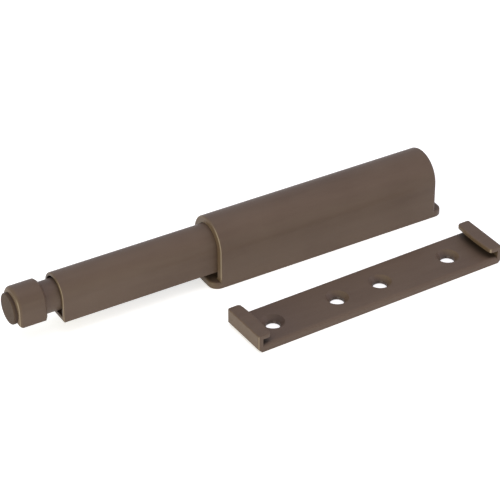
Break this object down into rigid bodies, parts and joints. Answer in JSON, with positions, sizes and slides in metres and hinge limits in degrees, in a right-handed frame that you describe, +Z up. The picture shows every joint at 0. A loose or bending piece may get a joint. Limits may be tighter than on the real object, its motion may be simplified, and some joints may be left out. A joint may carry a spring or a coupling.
{
  "type": "push to open catch",
  "caption": "Long push-to-open latch: a spring-loaded plunger with a screw-adjustable tip in an arched housing, with its clip-on screw mounting plate beside it.",
  "frame": {"origin": "on the housing's flat base, under the middle of its mouth", "axes": "+X along the housing, away from the plunger's tip; +Z up, square off the base; the mounting plate lies on the -Y side"},
  "size_m": [0.1232, 0.0422, 0.0171],
  "materials": {
    "housing_plastic": "satin moulded, dark brown",
    "plunger_plastic": "satin moulded, dark brown",
    "tip_plastic": "satin moulded, dark brown",
    "plate_plastic": "satin moulded, dark brown",
    "guide_plastic": "satin moulded, dark brown",
    "pad_soft": "soft matt, dark brown",
    "spring_steel": "bright drawn wire or strip"
  },
  "bodies": {
    "latch_base": {"housing": "housing_plastic", "spring_guide": "guide_plastic", "plunger_spring": "spring_steel", "arm_keeper": "guide_plastic", "arm_leaf": "spring_steel", "mounting_plate": "plate_plastic"},
    "plunger": {"plunger_sleeve": "plunger_plastic"},
    "tip_carrier": {"tip_pad": "pad_soft"},
    "tip": {"tip_head": "tip_plastic"},
    "arm": {"latch_arm": "spring_steel"}
  },
  "joints": [
    {"name": "plunger_slide", "type": "slide", "parent": "latch_base", "child": "plunger", "axis": [1, 0, 0], "range_m": [0, 0.04], "stiffness_N_per_m": 100, "springref_m": -0.03, "deforming": ["plunger_spring"]},
    {"name": "tip_advance", "type": "slide", "parent": "plunger", "child": "tip_carrier", "axis": [1, 0, 0], "range_m": [-0.0015, 0.003]},
    {"name": "tip_turn", "type": "hinge", "parent": "tip_carrier", "child": "tip", "pos_m": [-0.0469, 0, 0.0096], "axis": [1, 0, 0], "range_deg": [-362, 722]},
    {"name": "arm_swing", "type": "hinge", "parent": "latch_base", "child": "arm", "pos_m": [0.04445, 0, 0.00255], "axis": [0, 0, -1], "range_deg": [0, 7.64]}
  ],
  "couplings": [
    {"joint": "tip_turn", "follows": "tip_advance", "rad_per_m": 4188.8}
  ]
}
